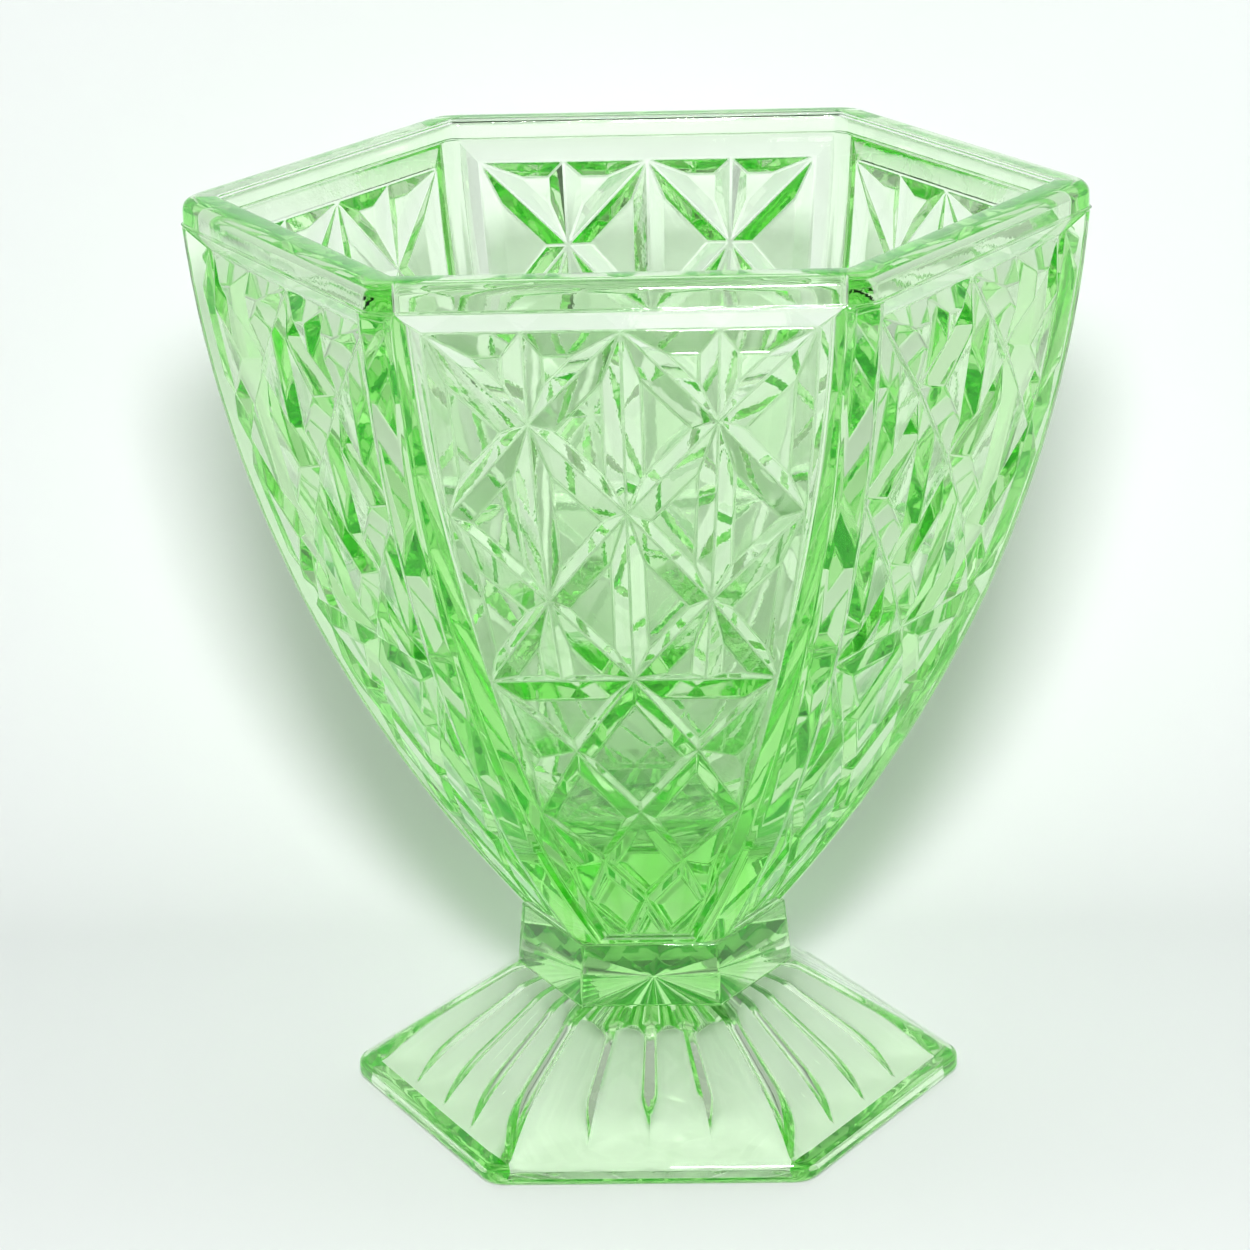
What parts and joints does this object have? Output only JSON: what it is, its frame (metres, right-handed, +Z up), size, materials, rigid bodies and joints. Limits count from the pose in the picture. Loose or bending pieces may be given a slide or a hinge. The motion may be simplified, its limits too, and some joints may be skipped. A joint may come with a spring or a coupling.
{
  "type": "footed glass bowl",
  "caption": "Footed hexagonal bowl in pressed green uranium glass, flaring to a plain rim, with a cut-style star and diamond relief on each face, on a rayed foot; holds sweets or flowers.",
  "frame": {"origin": "centre of the foot, on the surface the foot rests on", "axes": "+Z up along the axis of the bowl; one of the six faces looks along -Y, and two corners lie on the X axis"},
  "size_m": [0.113, 0.0996, 0.12],
  "materials": {
    "uranium_glass": "fire-polished pressed glass, clear yellow-green"
  },
  "bodies": {
    "root": {"bowl": "uranium_glass", "stem": "uranium_glass", "foot": "uranium_glass"}
  },
  "joints": []
}
